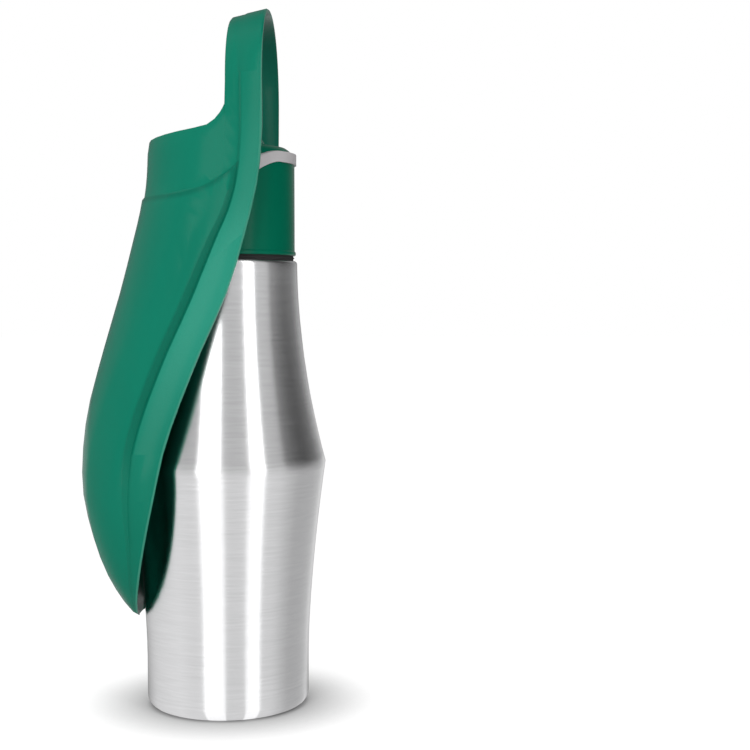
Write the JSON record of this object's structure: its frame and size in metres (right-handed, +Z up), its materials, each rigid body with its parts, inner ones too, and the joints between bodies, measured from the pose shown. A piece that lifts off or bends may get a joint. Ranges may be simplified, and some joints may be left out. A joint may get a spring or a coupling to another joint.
{
  "type": "pet travel water bottle",
  "caption": "Waisted steel water bottle with a screw cap, a twist valve and a leaf-shaped drinking scoop that swings over the cap and carries the bottle by its loop.",
  "frame": {"origin": "on the bottle's axis, in the plane of the ring that it stands on", "axes": "+Z up along the bottle, -Y the front, +Y the side on which the folded scoop hangs, +X right"},
  "size_m": [0.0852, 0.1005, 0.2871],
  "materials": {
    "steel": "fine brushed rings round the bottle",
    "scoop_green": "moulded, satin",
    "cap_green": "moulded, satin",
    "dial_green": "moulded, satin",
    "natural_plastic": "milky, moulded",
    "silicone": "pale translucent silicone",
    "black_rubber": "matt"
  },
  "bodies": {
    "bottle": {"bottle_shell": "steel", "base_dish": "steel"},
    "neck_ring": {"neck_gasket": "black_rubber"},
    "cap": {"cap_shell": "cap_green", "cap_liner": "natural_plastic", "mouth_seal": "silicone", "collar_seal": "silicone", "valve_gasket": "silicone", "dial_oring": "black_rubber"},
    "dial": {"valve_dial": "dial_green", "dial_washer": "steel", "dial_screw": "steel"},
    "scoop": {"scoop": "scoop_green", "pivot_pins": "steel"}
  },
  "joints": [
    {"name": "cap_lift", "type": "slide", "parent": "bottle", "child": "neck_ring", "axis": [0, 0, 1], "range_m": [0, 0.006]},
    {"name": "cap_turn", "type": "hinge", "parent": "neck_ring", "child": "cap", "pos_m": [0, 0, 0.2], "axis": [0, 0, 1], "range_deg": [0, 540]},
    {"name": "dial_turn", "type": "hinge", "parent": "cap", "child": "dial", "pos_m": [0, 0, 0.2345], "axis": [0, 0, 1], "range_deg": [0, 90]},
    {"name": "scoop_hinge", "type": "hinge", "parent": "cap", "child": "scoop", "pos_m": [0, 0, 0.21825], "axis": [1, 0, 0], "range_deg": [0, 130]}
  ],
  "couplings": [
    {"joint": "cap_lift", "follows": "cap_turn", "m_per_rad": 0.0006366}
  ]
}
